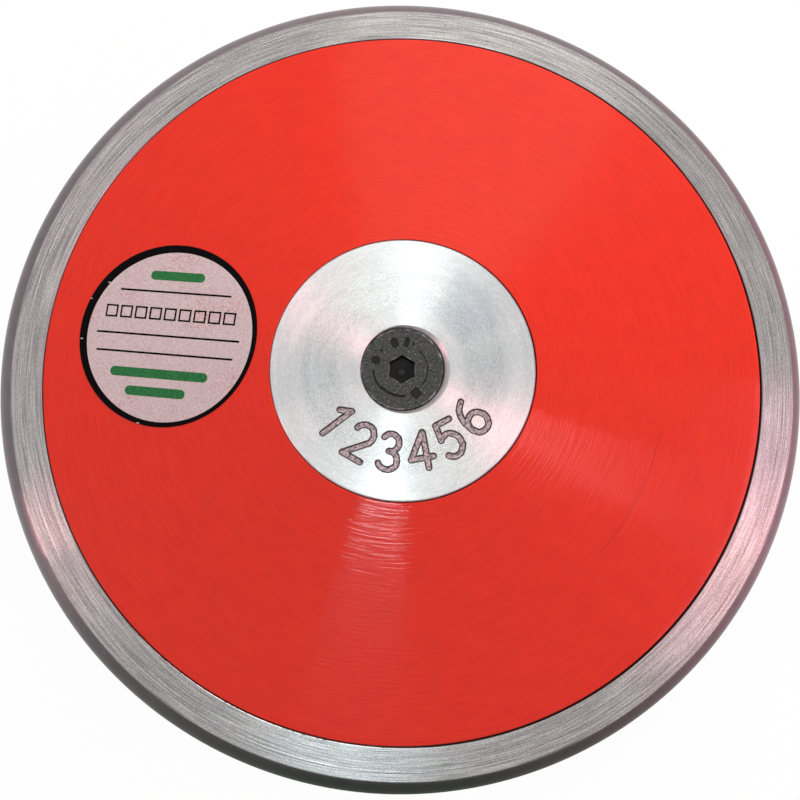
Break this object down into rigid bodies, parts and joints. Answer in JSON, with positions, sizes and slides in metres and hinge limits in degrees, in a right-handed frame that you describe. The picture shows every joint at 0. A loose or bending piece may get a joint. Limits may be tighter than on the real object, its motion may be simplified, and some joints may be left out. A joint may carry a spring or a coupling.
{
  "type": "discus",
  "caption": "Round throwing discus: tapered moulded side plates in a steel rim, clamped by screwed aluminium hub plates round a stack of balance washers.",
  "frame": {"origin": "on the spin axis, at the flat face of the lower hub plate, on which the discus lies", "axes": "+Z along the spin axis, from the lower side to the upper side; +X and +Y in the plane of the rim, +X midway between two ribs of the side plates"},
  "size_m": [0.166, 0.166, 0.034],
  "materials": {
    "rim_steel": "zinc-bright steel with fine turning marks round the axis, satin",
    "red_plastic": "moulded ABS, semi-gloss, with faint concentric marks",
    "hub_aluminium": "face-turned, bright, with fine concentric marks",
    "black_screw": "black-oxide steel, satin, with scuffed edges",
    "raw_steel": "plain cold-rolled steel",
    "pad_rubber": "plain black rubber, matt"
  },
  "bodies": {
    "root": {"rim": "rim_steel", "upper_side_plate": "red_plastic", "lower_side_plate": "red_plastic", "upper_hub_plate": "hub_aluminium", "lower_hub_plate": "hub_aluminium", "upper_centre_screw": "black_screw", "lower_centre_screw": "black_screw", "centre_spacer": "raw_steel", "balance_washer_1": "raw_steel", "balance_washer_2": "raw_steel", "balance_washer_3": "raw_steel", "upper_pad": "pad_rubber", "lower_pad": "pad_rubber"}
  },
  "joints": []
}
